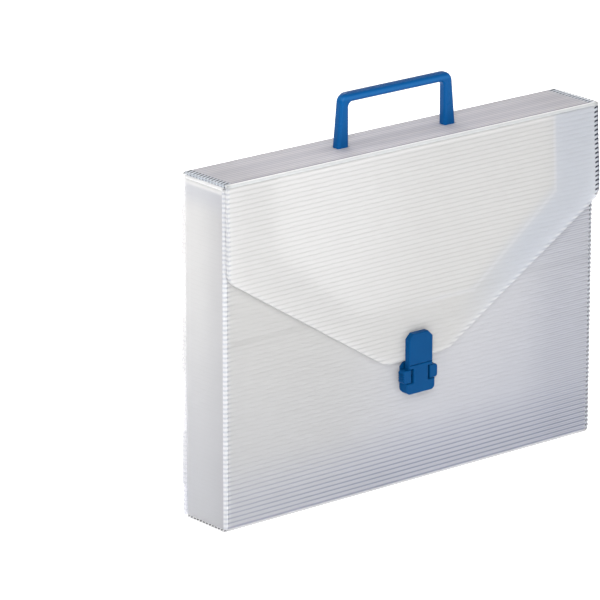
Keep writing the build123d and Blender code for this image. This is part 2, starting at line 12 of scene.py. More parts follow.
import bpy
from mathutils import Vector
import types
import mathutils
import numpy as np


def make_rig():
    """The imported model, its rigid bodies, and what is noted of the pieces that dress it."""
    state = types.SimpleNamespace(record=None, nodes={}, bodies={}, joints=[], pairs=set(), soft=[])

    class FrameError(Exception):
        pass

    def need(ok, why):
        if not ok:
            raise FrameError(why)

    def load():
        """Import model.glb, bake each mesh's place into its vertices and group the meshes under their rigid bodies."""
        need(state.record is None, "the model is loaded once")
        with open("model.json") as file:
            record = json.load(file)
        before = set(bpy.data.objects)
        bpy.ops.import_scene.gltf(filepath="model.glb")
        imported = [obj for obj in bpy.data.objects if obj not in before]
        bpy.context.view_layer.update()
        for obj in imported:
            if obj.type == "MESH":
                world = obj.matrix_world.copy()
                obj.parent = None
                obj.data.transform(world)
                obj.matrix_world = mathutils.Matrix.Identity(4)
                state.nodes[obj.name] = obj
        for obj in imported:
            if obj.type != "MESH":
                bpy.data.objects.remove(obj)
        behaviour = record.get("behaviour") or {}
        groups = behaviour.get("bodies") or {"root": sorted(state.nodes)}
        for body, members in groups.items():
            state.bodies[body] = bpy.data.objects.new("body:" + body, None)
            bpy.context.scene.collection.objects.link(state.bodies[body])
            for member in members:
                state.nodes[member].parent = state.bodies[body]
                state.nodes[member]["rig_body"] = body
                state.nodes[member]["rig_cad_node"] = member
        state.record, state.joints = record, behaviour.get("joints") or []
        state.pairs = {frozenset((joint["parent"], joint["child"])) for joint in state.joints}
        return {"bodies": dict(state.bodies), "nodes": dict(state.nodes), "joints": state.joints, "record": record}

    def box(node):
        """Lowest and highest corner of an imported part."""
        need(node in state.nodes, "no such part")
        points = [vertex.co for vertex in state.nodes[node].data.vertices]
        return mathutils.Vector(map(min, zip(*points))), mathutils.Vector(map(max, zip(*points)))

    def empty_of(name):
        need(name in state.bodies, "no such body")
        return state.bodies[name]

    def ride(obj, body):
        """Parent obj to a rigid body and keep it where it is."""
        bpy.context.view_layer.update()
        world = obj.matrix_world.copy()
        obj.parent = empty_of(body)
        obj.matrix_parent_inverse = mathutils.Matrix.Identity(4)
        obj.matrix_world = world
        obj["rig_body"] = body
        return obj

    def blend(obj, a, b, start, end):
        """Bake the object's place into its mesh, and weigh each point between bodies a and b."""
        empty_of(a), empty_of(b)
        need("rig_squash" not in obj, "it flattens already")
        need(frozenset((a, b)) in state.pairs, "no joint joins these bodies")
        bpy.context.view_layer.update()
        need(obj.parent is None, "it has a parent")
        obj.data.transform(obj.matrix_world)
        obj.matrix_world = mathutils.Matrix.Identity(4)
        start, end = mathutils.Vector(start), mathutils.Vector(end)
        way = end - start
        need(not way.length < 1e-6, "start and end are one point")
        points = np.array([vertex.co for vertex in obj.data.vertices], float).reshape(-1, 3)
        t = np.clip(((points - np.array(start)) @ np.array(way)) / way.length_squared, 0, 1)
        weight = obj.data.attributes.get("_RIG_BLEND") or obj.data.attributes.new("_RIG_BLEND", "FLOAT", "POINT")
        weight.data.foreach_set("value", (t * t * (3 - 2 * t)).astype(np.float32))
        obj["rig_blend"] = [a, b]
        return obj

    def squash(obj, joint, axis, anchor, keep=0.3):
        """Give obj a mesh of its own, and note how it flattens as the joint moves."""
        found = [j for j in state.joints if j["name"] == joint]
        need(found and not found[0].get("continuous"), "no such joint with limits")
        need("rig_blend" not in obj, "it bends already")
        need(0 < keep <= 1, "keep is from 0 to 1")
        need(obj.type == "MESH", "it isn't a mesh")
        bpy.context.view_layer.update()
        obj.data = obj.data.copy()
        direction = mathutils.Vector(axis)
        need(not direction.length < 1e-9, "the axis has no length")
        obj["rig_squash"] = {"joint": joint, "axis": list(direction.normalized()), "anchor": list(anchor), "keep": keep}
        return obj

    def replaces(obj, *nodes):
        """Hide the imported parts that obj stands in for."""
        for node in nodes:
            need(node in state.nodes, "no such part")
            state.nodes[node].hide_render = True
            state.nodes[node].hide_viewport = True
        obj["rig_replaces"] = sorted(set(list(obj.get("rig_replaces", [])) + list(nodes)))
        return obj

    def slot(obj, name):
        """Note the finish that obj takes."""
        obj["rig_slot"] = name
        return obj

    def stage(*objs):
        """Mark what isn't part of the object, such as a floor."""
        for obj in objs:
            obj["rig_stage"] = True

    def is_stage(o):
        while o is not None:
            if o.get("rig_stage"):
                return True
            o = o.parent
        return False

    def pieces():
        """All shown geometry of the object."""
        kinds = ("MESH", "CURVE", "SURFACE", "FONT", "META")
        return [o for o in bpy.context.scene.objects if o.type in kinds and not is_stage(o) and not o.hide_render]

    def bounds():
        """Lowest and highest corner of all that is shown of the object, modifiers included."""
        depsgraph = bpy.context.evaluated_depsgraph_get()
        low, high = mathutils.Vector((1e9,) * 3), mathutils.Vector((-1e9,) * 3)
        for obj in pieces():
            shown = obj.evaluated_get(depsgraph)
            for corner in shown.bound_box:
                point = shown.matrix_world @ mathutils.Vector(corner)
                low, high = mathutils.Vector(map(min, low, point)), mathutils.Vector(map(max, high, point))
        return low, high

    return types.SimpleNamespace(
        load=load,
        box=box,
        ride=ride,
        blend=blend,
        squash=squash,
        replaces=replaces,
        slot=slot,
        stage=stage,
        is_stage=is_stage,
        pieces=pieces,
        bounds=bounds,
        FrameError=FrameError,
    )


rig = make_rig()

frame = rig.load()
cad_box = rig.bounds()

X, Y, Z = range(3)

# The sheet: a twin-wall board, its ribs one pitch apart
PITCH = 0.003733
BOARD = 0.0025
SKIN = 0.0003
RIB = 0.0003

# Where its panels lie, as in the CAD model. The depth is the inner one, and a panel's Y its inner face
HALF_WIDTH = 0.19
HALF_DEPTH = 0.0225
FOLD_X = 0.1875
FRONT_Y = -HALF_DEPTH
FLAP_Y = -0.0265
LID_Z = 0.2775
FOLD_TOP = 0.2747

# The front's flutes: where the first one starts, and how many there are below the cut-out and beside it
FIRST_FLUTE = 0.0036
BAND_ROWS = 39
EAR_ROWS = 34

# The flap, and the cut-out of the front panel behind it: a corner and the end of the slanted edge below
# it, as X and Z, the radii that round the two, and how far the edge goes out for every metre up
FLAP_HEIGHT = 0.1735
FLAP_CORNER = (0.190, 0.2035)
FLAP_TIP = (0.032, 0.104)
FLAP_RADII = (0.012, 0.018)
FLAP_SLOPE = 1.588
CUT_CORNER = (0.143, 0.218)
CUT_FLOOR = (0.055, 0.149)
CUT_RADII = (0.034, 0.028)
CUT_SLOPE = 1.275

# How far a flute swells on the flap and on the front, and how much more where it is pinched
FLAP_SWELL = (0.00014, 0.00026)
FRONT_SWELL = (0.00006, 0.00048)

# The strip at both ends of a sheet in which a mesh has more columns
EDGE = 0.006

# How far a release button goes in
PRESS = 0.002

WHITE = (1, 1, 1, 1)
PALE = (0.95, 0.95, 0.95, 1)
CLOUD = (0.78, 0.78, 0.80, 1)
GREY = (0.66, 0.66, 0.69, 1)
COOL = (0.74, 0.76, 0.83, 1)
SKY = (0.83, 0.86, 0.915, 1)
GLEAM = (0.90, 0.95, 1.0, 1)
DEEP = (0.30, 0.33, 0.45, 1)
STROKE = (0.02, 0.024, 0.06, 1)


# Camera, floor and light

def add_camera():
    """The photograph's camera: far off, to the left and a little above."""
    data = bpy.data.cameras.new("camera")
    data.lens = 294.21
    data.sensor_width = 36
    data.clip_end = 50
    camera = bpy.data.objects.new("camera", data)
    camera.location = (-2.3977, -2.806, 1.3157)
    camera.rotation_euler = Vector((0.6046, 0.7368, -0.3025)).to_track_quat("-Z", "Y").to_euler()
    bpy.context.scene.collection.objects.link(camera)
    bpy.context.scene.camera = camera


def add_floor():
    """A plain pale floor that stays close to white under the lights."""
    size = 40
    height = -0.0002
    corners = ((-size, -size), (size, -size), (size, size), (-size, size))
    mesh = bpy.data.meshes.new("floor")
    mesh.from_pydata([(x, y, height) for x, y in corners], [], [(0, 1, 2, 3)])
    floor = bpy.data.objects.new("floor", mesh)
    bpy.context.scene.collection.objects.link(floor)
    material = new_material("floor_white")
    shader = material.node_tree.nodes["Principled BSDF"]
    shader.inputs["Base Color"].default_value = (0.93, 0.93, 0.94, 1)
    shader.inputs["Roughness"].default_value = 0.9
    shader.inputs["Specular IOR Level"].default_value = 0.1
    shader.inputs["Emission Color"].default_value = WHITE
    shader.inputs["Emission Strength"].default_value = 0.65
    mesh.materials.append(material)
    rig.stage(floor)


def add_area_light(name, place, target, size, power, colour):
    """A soft square light that faces its target."""
    data = bpy.data.lights.new(name, "AREA")
    data.shape = "SQUARE"
    data.size = size
    data.energy = power
    data.color = colour
    lamp = bpy.data.objects.new(name, data)
    lamp.location = place
    lamp.rotation_euler = (Vector(target) - Vector(place)).to_track_quat("-Z", "Y").to_euler()
    bpy.context.scene.collection.objects.link(lamp)


def add_lights():
    """Soft studio light, strongest from the front left, with a pale surround."""
    world = bpy.data.worlds.new("studio")
    world.use_nodes = True
    background = world.node_tree.nodes["Background"]
    background.inputs["Color"].default_value = (1, 0.995, 0.99, 1)
    background.inputs["Strength"].default_value = 0.40
    bpy.context.scene.world = world
    add_area_light("key", (-0.75, -0.95, 0.85), (-0.05, 0, 0.2), 0.7, 13.5, (1.0, 0.99, 0.975))
    add_area_light("left_fill", (-1.3, 0.25, 1.2), (-0.19, 0, 0.2), 0.8, 3.5, (1.0, 0.995, 0.985))
    add_area_light("top_fill", (0.45, 0.05, 1.2), (0.16, 0, 0.28), 0.5, 3.0, (1.0, 0.99, 0.98))
    add_area_light("back_glow", (0.5, 1.7, 1.1), (0, 0, 0.15), 1.2, 16, (1.0, 0.96, 0.92))


# Geometry

def add_mesh(name, points, faces, material, inner=(), inner_material=None):
    """A new object of this mesh, with one material and another one on the faces numbered in inner."""
    mesh = bpy.data.meshes.new(name)
    mesh.from_pydata(points, [], faces)
    mesh.materials.append(material)
    if inner_material:
        mesh.materials.append(inner_material)
        for face in inner:
            mesh.polygons[face].material_index = 1
    for face in mesh.polygons:
        face.use_smooth = True
    mesh.validate()
    piece = bpy.data.objects.new(name, mesh)
    bpy.context.scene.collection.objects.link(piece)
    return piece


def smooth_step(low, high, value):
    """0 below low, 1 above high, and a smooth rise between them."""
    share = min(max((value - low) / (high - low), 0.0), 1.0)
    return share * share * (3 - 2 * share)


def rounded_corner(before, corner, after, radius):
    """The centre and the two ends of the arc that rounds a corner of an outline."""
    first = (Vector(before) - Vector(corner)).normalized()
    second = (Vector(after) - Vector(corner)).normalized()
    half = first.angle(second) / 2
    start = Vector(corner) + first * (radius / math.tan(half))
    end = Vector(corner) + second * (radius / math.tan(half))
    centre = Vector(corner) + (first + second).normalized() * (radius / math.sin(half))
    return centre, start, end


def half_width(height, corner, tip, radii):
    """Half the width at this height of an outline that is upright above a corner and slanted below it.

    The slanted edge ends at the tip, where the outline turns level. radii round the corner and the tip.
    """

    def arc(centre, radius):
        return centre.x + math.sqrt(max(radius**2 - (height - centre.y) ** 2, 0))

    centre, start, end = rounded_corner((corner[0], 0.28), corner, tip, radii[0])
    if height >= start.y:
        return corner[0]
    if height >= end.y:
        return arc(centre, radii[0])
    centre, start, _ = rounded_corner(corner, tip, (0, tip[1]), radii[1])
    if height >= start.y:
        return tip[0] + (height - tip[1]) * (corner[0] - tip[0]) / (corner[1] - tip[1])
    return arc(centre, radii[1])


def fluted_board(
    name, rows, start, margin, reach, place, relief, columns, material, mouths=None, sealed=False
):
    """A twin-wall board with open flutes along X, and a solid margin before the first and after the last.

    reach(v) gives the lowest and highest X at the height v, place(x, v, w) the point at the depth w
    from the board's back, and relief(x, turn) how far its front stands proud at that turn of a flute.
    columns are the shares of the width at which its points lie. mouths is a material of painted shade
    and a height: the flutes above it take that material inside, between the last two columns. sealed
    closes the flutes' left ends, as a crushed edge does.
    """
    rib = RIB / 2
    turns = (0.0, rib / PITCH, 0.27, 0.5, 0.73, 1 - rib / PITCH)
    levels = [(start - margin, 0.0, True)]
    for row in range(rows):
        for turn in turns:
            levels.append((start + (row + turn) * PITCH, turn, turn < 0.2 or turn > 0.8))
    levels.append((start + rows * PITCH, 0.0, True))
    levels.append((start + rows * PITCH + margin, 0.0, True))
    points = []
    faces = []
    inner = []

    def line(height, turn, depth):
        """The numbers of a row of new points along X. Without a depth it lies on the board's front."""
        left, right = reach(height)
        numbers = []
        for share in columns:
            x = left + (right - left) * share
            numbers.append(len(points))
            points.append(place(x, height, BOARD + relief(x, turn) if depth is None else depth))
        return numbers

    def strip(first, second, dark=False):
        """Faces between two rows of points. The last one may be dark."""
        for step in range(len(columns) - 1):
            if dark and step == len(columns) - 2:
                inner.append(len(faces))
            faces.append((first[step], first[step + 1], second[step + 1], second[step]))

    front = [line(height, turn, None) for height, turn, _ in levels]
    back = [line(height, turn, 0.0) if kept else None for height, turn, kept in levels]
    for first, second in zip(front, front[1:]):
        strip(first, second)
    kept = [row for row in back if row]
    for first, second in zip(kept, kept[1:]):
        strip(second, first)
    strip(back[0], front[0])
    strip(front[-1], back[-1])
    for end in (0, -1):
        for first, second in ((0, 1), (-2, -1)):
            cap = (back[first][end], front[first][end], front[second][end], back[second][end])
            faces.append(cap if end == 0 else cap[::-1])
    for row in range(rows):
        base = row * len(turns) + 1
        low, high = levels[base + 1][0], levels[base + 5][0]
        near_low, far_low = line(low, 0, SKIN), line(low, 0, BOARD - SKIN)
        near_high, far_high = line(high, 0, SKIN), line(high, 0, BOARD - SKIN)
        dark = mouths is not None and low > mouths[1]
        strip(far_low, near_low, dark)
        strip(far_high, far_low, dark)
        strip(near_high, far_high, dark)
        strip(near_low, near_high, dark)
        for end in (0, -1):
            ring = [front[base + step][end] for step in range(len(turns) + 1)]
            rear = [back[base + step][end] for step in (0, 1, 5, 6)]
            caps = (
                (rear[0], ring[0], ring[1], far_low[end], near_low[end], rear[1]),
                (rear[1], near_low[end], near_high[end], rear[2]),
                (far_low[end], *ring[1:6], far_high[end]),
                (rear[2], near_high[end], far_high[end], ring[5], ring[6], rear[3]),
            )
            if sealed and end == 0:
                caps += ((near_low[end], far_low[end], far_high[end], near_high[end]),)
            faces.extend(cap if end == 0 else cap[::-1] for cap in caps)
    return add_mesh(name, points, faces, material, inner, mouths[0] if mouths else None)


def flute_swell(turn):
    """How the skin stands between two ribs: lowest at the ribs and highest in the middle."""
    return math.sin(math.pi * turn) ** 0.7 - 0.6


def edge_columns(count, edge):
    """Shares of the width: a few close to each end and the rest evenly between them."""
    inner = [edge + (1 - 2 * edge) * step / count for step in range(count + 1)]
    near = [0.0, edge * 0.25, edge * 0.6]
    return near + inner + [1 - share for share in reversed(near)]


def flap_lift(x, height):
    """How far the flap stands off below its crease: most at its side corners, above all on the right."""
    right_bow, left_bow = 0.0030, 0.0012
    side = smooth_step(0.02, HALF_WIDTH, abs(x)) ** 1.3
    return (right_bow if x > 0 else left_bow) * side * smooth_step(LID_Z, 0.212, height)


def add_flap(material, mouth):
    """The closing flap, held at its crease and its clasp and bowed out at its side corners."""
    rows = int(FLAP_HEIGHT / PITCH)
    margin = (FLAP_HEIGHT - rows * PITCH) / 2

    def reach(height):
        half = half_width(height, FLAP_CORNER, FLAP_TIP, FLAP_RADII)
        return -half, half

    def place(x, height, depth):
        return (x, FLAP_Y - depth - flap_lift(x, height), height)

    def relief(x, turn):
        plain, pinched = FLAP_SWELL
        return (plain + pinched * smooth_step(0.186, HALF_WIDTH, abs(x))) * flute_swell(turn)

    flap = fluted_board(
        "flap_sheet",
        rows,
        FLAP_TIP[1] + margin,
        margin,
        reach,
        place,
        relief,
        edge_columns(28, EDGE / (2 * HALF_WIDTH)),
        material,
        (mouth, FLAP_CORNER[1]),
        sealed=True,
    )
    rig.ride(flap, "flap")
    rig.replaces(flap, "closing_flap")
    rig.slot(flap, "polypropylene_sheet")


def add_front(material):
    """The front panel: a full-width band below the cut-out and an ear on each side of it."""
    foot_margin = 0.0011
    ear_start = FIRST_FLUTE + BAND_ROWS * PITCH

    def place(x, height, depth):
        return (x, FRONT_Y - depth, height)

    def relief(x, turn):
        plain, pinched = FRONT_SWELL
        return (plain + pinched * smooth_step(0.1805, 0.1865, abs(x))) * flute_swell(turn)

    def cutout(height):
        return half_width(height, CUT_CORNER, CUT_FLOOR, CUT_RADII)

    def band_reach(height):
        return -FOLD_X, FOLD_X

    def left_reach(height):
        return -FOLD_X, -cutout(height)

    def right_reach(height):
        return cutout(height), FOLD_X

    near = [0.0, 0.02, 0.05, 0.1, 0.15, 0.25, 0.4, 0.55, 0.7, 0.85, 1.0]
    far = [1 - share for share in reversed(near)]
    wide = edge_columns(40, EDGE / (2 * FOLD_X))
    pieces = [
        fluted_board(name, rows, start, margin, reach, place, relief, columns, material)
        for name, rows, start, margin, reach, columns in (
            ("front_sheet", BAND_ROWS, FIRST_FLUTE, foot_margin, band_reach, wide),
            ("left_ear", EAR_ROWS, ear_start, 0.0, left_reach, near),
            ("right_ear", EAR_ROWS, ear_start, 0.0, right_reach, far),
        )
    ]
    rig.replaces(pieces[0], "front_panel")
    for piece in pieces:
        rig.ride(piece, "case")
        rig.slot(piece, "polypropylene_sheet")


def add_corner_fold(side, name, node, material):
    """An upright fold of crushed sheet, gathered into one bead for each flute."""
    steps = 8
    closest = 0.0002
    turns = (0.0, 0.12, 0.27, 0.5, 0.73, 0.88)
    heights = [(BOARD, 0.0)]
    for row in range(BAND_ROWS + EAR_ROWS):
        heights.extend((FIRST_FLUTE + (row + turn) * PITCH, turn) for turn in turns)
    heights = [item for item in heights if item[0] < FOLD_TOP - closest] + [(FOLD_TOP, 0.0)]
    points = []
    for height, turn in heights:
        points.append((side * FOLD_X, FRONT_Y, height))
        for step in range(steps + 1):
            angle = step / steps * math.pi / 2
            radius = BOARD + sum(FRONT_SWELL) * flute_swell(turn) * math.sin(angle) ** 0.6
            x = side * FOLD_X + side * radius * math.cos(angle)
            points.append((x, FRONT_Y - radius * math.sin(angle), height))
    ring = steps + 2
    faces = []
    for level in range(len(heights) - 1):
        base = level * ring
        for step in range(ring):
            after = (step + 1) % ring
            faces.append((base + step, base + after, base + ring + after, base + ring + step))
    faces.append(tuple(range(ring)))
    faces.append(tuple(range(len(points) - ring, len(points))))
    fold = add_mesh(name, points, faces, material)
    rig.ride(fold, "case")
    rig.replaces(fold, node)
    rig.slot(fold, "polypropylene_sheet")


def add_crease(name, node, half, place, bodies, material):
    """A crease between two panels: a crushed, rounded strip that bends as its panel opens.

    place(along, out, up) gives the point at that distance along the crease, from -half to half, and out
    and up from the middle of its bend. The first body is the one above the bend and the second the one
    beside it. The mesh keeps each point's share of the way round the bend, for the material.
    """
    steps = 12
    thickness = 0.0007
    depth = 0.00035
    columns = [half * (step / 30 - 1) for step in range(61)]
    points = []
    for index, along in enumerate(columns):
        uneven = 0.00006 * math.sin(index * 1.7) + 0.00005 * math.sin(index * 0.63 + 1)
        for skin in (0.0, thickness):
            for step in range(steps + 1):
                share = step / steps
                upper = math.exp(-(((share - 0.14) / 0.09) ** 2))
                lower = math.exp(-(((share - 0.86) / 0.09) ** 2))
                groove = depth * (upper + 0.6 * lower)
                radius = BOARD - groove + uneven * math.sin(math.pi * share) - skin
                angle = share * math.pi / 2
                points.append(place(along, radius * math.sin(angle), radius * math.cos(angle)))
    ring = 2 * (steps + 1)
    outer = list(range(steps + 1))
    loop = outer + [steps + 1 + step for step in reversed(outer)]
    faces = []
    for column in range(len(columns) - 1):
        base = column * ring
        for first, second in zip(loop, loop[1:] + loop[:1]):
            faces.append((base + first, base + second, base + ring + second, base + ring + first))
    faces.append(tuple(loop))
    faces.append(tuple(len(points) - ring + item for item in loop))
    crease = add_mesh(name, points, faces, material)
    shares = crease.data.attributes.new("across", "FLOAT", "POINT")
    for number, item in enumerate(shares.data):
        item.value = number % (steps + 1) / steps
    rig.replaces(crease, node)
    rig.slot(crease, "polypropylene_sheet")
    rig.blend(crease, *bodies, start=place(0, 0, BOARD), end=place(0, BOARD, 0))


def add_creases(material, dust_material):
    """The creases of the flap, the lid and the dust flaps."""

    def lengthwise(y, side):
        return lambda along, out, up: (along, y + side * out, LID_Z + up)

    def crosswise(side):
        return lambda along, out, up: (side * (FOLD_X + out), along, FOLD_TOP + up)

    for name, place, bodies in (
        ("flap", lengthwise(FLAP_Y, -1), ("lid", "flap")),
        ("lid", lengthwise(HALF_DEPTH, 1), ("lid", "case")),
    ):
        add_crease(f"{name}_crease_skin", f"{name}_crease", HALF_WIDTH, place, bodies, material)
    for side, end in ((-1, "left"), (1, "right")):
        bodies = (f"{end}_dust_flap", "case")
        place = crosswise(side)
        add_crease(f"{end}_dust_skin", f"{end}_dust_crease", HALF_DEPTH, place, bodies, dust_material)


def add_spring(node, joint, material):
    """A button's spring, which shortens towards the clasp's middle as the button goes in."""
    spring = bpy.data.objects.new(f"{node}_coil", frame["nodes"][node].data.copy())
    bpy.context.scene.collection.objects.link(spring)
    spring.data.materials.clear()
    spring.data.materials.append(material)
    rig.ride(spring, "case")
    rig.replaces(spring, node)
    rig.slot(spring, "steel")
    low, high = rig.box(node)
    fixed = min(low, high, key=lambda corner: abs(corner[X]))
    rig.squash(spring, joint, (1, 0, 0), (fixed[X], 0, 0), keep=1 - PRESS / (high[X] - low[X]))


# Shader nodes

def new_material(name):
    """An empty material with its shader nodes."""
    material = bpy.data.materials.new(name)
    material.use_nodes = True
    return material


class Nodes:
    """Short calls that add shader nodes to one material."""

    def __init__(self, material):
        self.tree = material.node_tree
        self.output = self.tree.nodes["Material Output"]
        self.shader = self.tree.nodes["Principled BSDF"]

    def add(self, kind, **settings):
        node = self.tree.nodes.new(kind)
        for key, value in settings.items():
            setattr(node, key, value)
        return node

    def join(self, socket, value):
        if isinstance(value, bpy.types.NodeSocket):
            self.tree.links.new(value, socket)
        else:
            socket.default_value = value

    def math(self, operation, first, second=0.0, third=0.0):
        node = self.add("ShaderNodeMath", operation=operation)
        for socket, value in zip(node.inputs, (first, second, third)):
            self.join(socket, value)
        return node.outputs[0]

    def product(self, first, *others):
        for other in others:
            first = self.math("MULTIPLY", first, other)
        return first

    def off(self, value, middle):
        """How far value is from middle."""
        return self.math("ABSOLUTE", self.math("SUBTRACT", value, middle))

    def ramp(self, value, low, high, at_low=0.0, at_high=1.0):
        """Goes smoothly from at_low to at_high while value goes from low to high."""
        node = self.add("ShaderNodeMapRange", interpolation_type="SMOOTHSTEP")
        for name, item in (
            ("Value", value),
            ("From Min", low),
            ("From Max", high),
            ("To Min", at_low),
            ("To Max", at_high),
        ):
            self.join(node.inputs[name], item)
        return node.outputs["Result"]

    def mix(self, share, first, second):
        node = self.add("ShaderNodeMix", data_type="RGBA")
        self.join(node.inputs["Factor"], share)
        self.join(node.inputs[6], first)
        self.join(node.inputs[7], second)
        return node.outputs[2]

    def noise(self, scale, detail=3.0, stretch=(1, 1, 1)):
        mapping = self.add("ShaderNodeMapping")
        self.join(mapping.inputs["Vector"], self.add("ShaderNodeTexCoord").outputs["Object"])
        mapping.inputs["Scale"].default_value = stretch
        node = self.add("ShaderNodeTexNoise")
        self.join(node.inputs["Vector"], mapping.outputs[0])
        node.inputs["Scale"].default_value = scale
        node.inputs["Detail"].default_value = detail
        return node.outputs["Fac"]

    def bump(self, height, strength, distance):
        node = self.add("ShaderNodeBump")
        node.inputs["Strength"].default_value = strength
        node.inputs["Distance"].default_value = distance
        self.join(node.inputs["Height"], height)
        return node.outputs[0]

    def place(self):
        """The X, Y and Z of the point, in the row frame."""
        split = self.add("ShaderNodeSeparateXYZ")
        self.join(split.inputs[0], self.add("ShaderNodeTexCoord").outputs["Object"])
        return split.outputs


# The sheet's materials

def scattered(nodes, colour, clear, bump=None, through_share=0.45):
    """Finishes a sheet's material: its skin scatters light to both sides, and lets some of it pass."""
    nodes.shader.inputs["Roughness"].default_value = 0.42
    nodes.shader.inputs["Specular IOR Level"].default_value = 0.35
    nodes.join(nodes.shader.inputs["Base Color"], colour)
    if bump:
        nodes.join(nodes.shader.inputs["Normal"], bump)
    through = nodes.add("ShaderNodeBsdfTranslucent")
    nodes.join(through.inputs["Color"], colour)
    scatter = nodes.add("ShaderNodeMixShader")
    scatter.inputs[0].default_value = through_share
    nodes.join(scatter.inputs[1], nodes.shader.outputs[0])
    nodes.join(scatter.inputs[2], through.outputs[0])
    passing = nodes.add("ShaderNodeBsdfTransparent")
    passing.inputs["Color"].default_value = (0.98, 0.98, 0.98, 1)
    whole = nodes.add("ShaderNodeMixShader")
    whole.inputs[0].default_value = clear
    nodes.join(whole.inputs[1], scatter.outputs[0])
    nodes.join(whole.inputs[2], passing.outputs[0])
    nodes.join(nodes.output.inputs["Surface"], whole.outputs[0])


def painted_foot_shade(nodes, place, turn, colour):
    """Paints shade low down on a panel, cooler and darker, and paints the ribs of the sheet behind it as seen through
    it at its right. Also gives how low.
    """
    low = nodes.product(nodes.ramp(place[Z], 0.060, 0.008), nodes.ramp(place[X], -0.24, 0.02, 0.55, 1.0))
    colour = nodes.mix(nodes.product(low, 0.7), colour, COOL)
    double = nodes.off(nodes.math("FRACT", nodes.product(turn, 2.0)), 0.5)
    behind = nodes.product(nodes.ramp(double, 0.2, 0.45), nodes.ramp(place[X], 0.105, 0.16, 0.0, 0.34))
    return nodes.mix(behind, colour, DEEP), low


def behind_flap(nodes, place):
    """Where the front panel lies behind the flap, as shares.

    The first is for the right ear and its slope, the second for those and what is below the cut-out's
    floor, and the third for a rim along the cut-out's outline. All fade out towards the left. They
    mask the painted shade, fainter lines and painted pale rim that stand for the front panel seen
    through the flap.
    """
    ear = nodes.ramp(place[X], 0.1412, 0.1450)
    slope = nodes.math("SUBTRACT", place[X], nodes.math("MULTIPLY_ADD", place[Z], CUT_SLOPE, -0.135))
    slant = nodes.product(nodes.ramp(slope, -0.012, 0.016), nodes.ramp(place[X], 0.03, 0.12))
    behind = nodes.math("MAXIMUM", ear, slant)
    below = nodes.product(nodes.ramp(place[Z], 0.153, 0.145), nodes.ramp(place[X], -0.07, 0.02))
    floor = nodes.math("SUBTRACT", CUT_FLOOR[1], place[Z])
    across = nodes.product(nodes.math("SUBTRACT", slope, 0.004), 0.617)
    side = nodes.math("SUBTRACT", place[X], CUT_CORNER[0])
    outside = nodes.math("ABSOLUTE", nodes.math("MAXIMUM", nodes.math("MAXIMUM", floor, across), side))
    rim = nodes.product(nodes.ramp(outside, 0.0024, 0.0006, 0.0, 0.7), nodes.ramp(place[X], -0.02, 0.03))
    return behind, nodes.math("MAXIMUM", behind, below), rim


def slanted_edge_highlights(nodes, place, side, away, colour):
    """Painted highlights on the flutes' ends along the flap's slanted edges, with darker ribs between them."""
    up = nodes.math("SUBTRACT", place[Z], FLAP_TIP[1])
    edge = nodes.math("MULTIPLY_ADD", up, FLAP_SLOPE, FLAP_TIP[0])
    near = nodes.ramp(nodes.math("SUBTRACT", edge, side), 0.0075, 0.0030)
    near = nodes.product(near, nodes.ramp(place[X], -0.1, 0.1, 0.45, 0.85))
    colour = nodes.mix(nodes.product(near, nodes.ramp(away, 0.20, 0.07)), colour, WHITE)
    return nodes.mix(nodes.product(near, nodes.ramp(away, 0.30, 0.46, 0.0, 0.3)), colour, DEEP)


def strokes(nodes, place, turn, colour, sign, lean, begin):
    """Painted shade as dark leaning strokes in the flutes' ends, with painted highlights between them, on faces that
    don't look along X.

    They show through the skin from begin outwards, on the right for a sign of 1 and on the left for -1,
    and lean by so many flutes per metre.
    """
    outward = nodes.product(place[X], sign)
    leaning = nodes.math("FRACT", nodes.math("MULTIPLY_ADD", place[X], lean, turn))
    dark = nodes.ramp(nodes.off(leaning, 0.5), 0.29, 0.13)
    normal = nodes.add("ShaderNodeSeparateXYZ")
    nodes.join(normal.inputs[0], nodes.add("ShaderNodeNewGeometry").outputs["Normal"])
    flat = nodes.ramp(nodes.math("ABSOLUTE", normal.outputs[X]), 0.7, 0.3)
    end = nodes.product(nodes.ramp(outward, begin, begin + 0.0018), flat)
    colour = nodes.mix(end, colour, GLEAM)
    return nodes.mix(nodes.product(end, dark), colour, STROKE)


def dark_ends(nodes, place, side, colour, middle):
    """The flutes of a flat board with this middle height, with painted shade just behind their cut ends and a painted
    highlight at the very ends.
    """
    inside = nodes.product(
        nodes.ramp(nodes.off(place[Z], middle), 0.00097, 0.00090),
        nodes.ramp(side, 0.1835, 0.1850),
        nodes.ramp(side, 0.1899, 0.1890),
        nodes.ramp(nodes.math("ABSOLUTE", place[Y]), 0.0226, 0.0224),
    )
    colour = nodes.mix(nodes.ramp(side, 0.1897, 0.18995), colour, WHITE)
    return nodes.mix(inside, colour, (0.01, 0.012, 0.03, 1))


